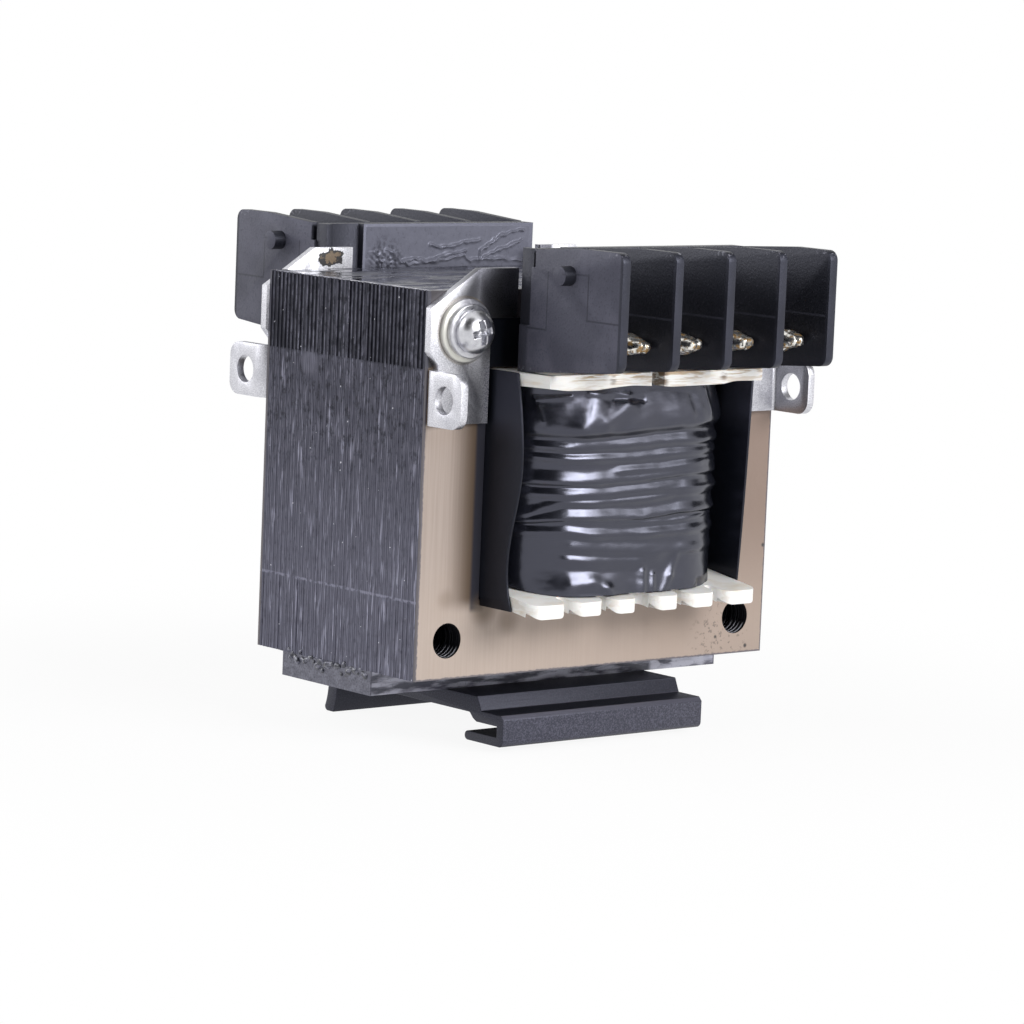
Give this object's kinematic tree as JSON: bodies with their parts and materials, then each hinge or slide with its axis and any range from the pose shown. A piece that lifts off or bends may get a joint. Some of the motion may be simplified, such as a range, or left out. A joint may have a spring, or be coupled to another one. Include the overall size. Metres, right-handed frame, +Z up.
{
  "type": "control transformer",
  "caption": "Open-frame laminated control transformer with screw terminal blocks front and back, corner brackets and a clip-on rail adapter underneath.",
  "frame": {"origin": "under the middle of the core, at the foot of the rail adapter's rear leg", "axes": "+X along the core's front face to the right, +Y from the front terminal block to the rear one, +Z up"},
  "size_m": [0.067, 0.0886, 0.073],
  "materials": {
    "varnished_edges": "clear varnish over sheet edges",
    "varnished_faces": "clear varnish over bare sheet",
    "plate_steel": "varnished, weld spatter at the ends",
    "black_moulding": "moulded, satin",
    "cream_moulding": "varnish stained",
    "black_tape": "glossy, wrinkled",
    "black_sheet": "smooth sheet",
    "insulating_paper": "matt",
    "winding_wire": "enamelled copper",
    "tinned_plate": "tinned, soldered at the tip",
    "zinc_plated": "zinc plated"
  },
  "bodies": {
    "root": {"adapter_screws": "zinc_plated", "base_plate": "plate_steel", "bobbin": "cream_moulding", "bracket_flat_washers": "zinc_plated", "bracket_screws": "zinc_plated", "bracket_spring_washers": "zinc_plated", "core_stack": "varnished_edges", "front_clamp_washers": "zinc_plated", "front_e_lamination": "varnished_faces", "front_i_lamination": "varnished_faces", "front_leads": "winding_wire", "front_left_bracket": "zinc_plated", "front_right_bracket": "zinc_plated", "front_terminal_block": "black_moulding", "front_terminal_plates": "tinned_plate", "front_terminal_screws": "zinc_plated", "front_yoke_strip": "black_sheet", "interlayer_insulation": "insulating_paper", "left_window_sheet": "black_sheet", "outer_tape": "black_tape", "primary_winding": "winding_wire", "rail_adapter": "black_moulding", "rear_clamp_washers": "zinc_plated", "rear_e_lamination": "varnished_faces", "rear_i_lamination": "varnished_faces", "rear_leads": "winding_wire", "rear_left_bracket": "zinc_plated", "rear_right_bracket": "zinc_plated", "rear_terminal_block": "black_moulding", "rear_terminal_plates": "tinned_plate", "rear_terminal_screws": "zinc_plated", "rear_yoke_strip": "black_sheet", "right_window_sheet": "black_sheet", "screw_sleeves": "zinc_plated", "secondary_winding": "winding_wire"}
  },
  "joints": []
}
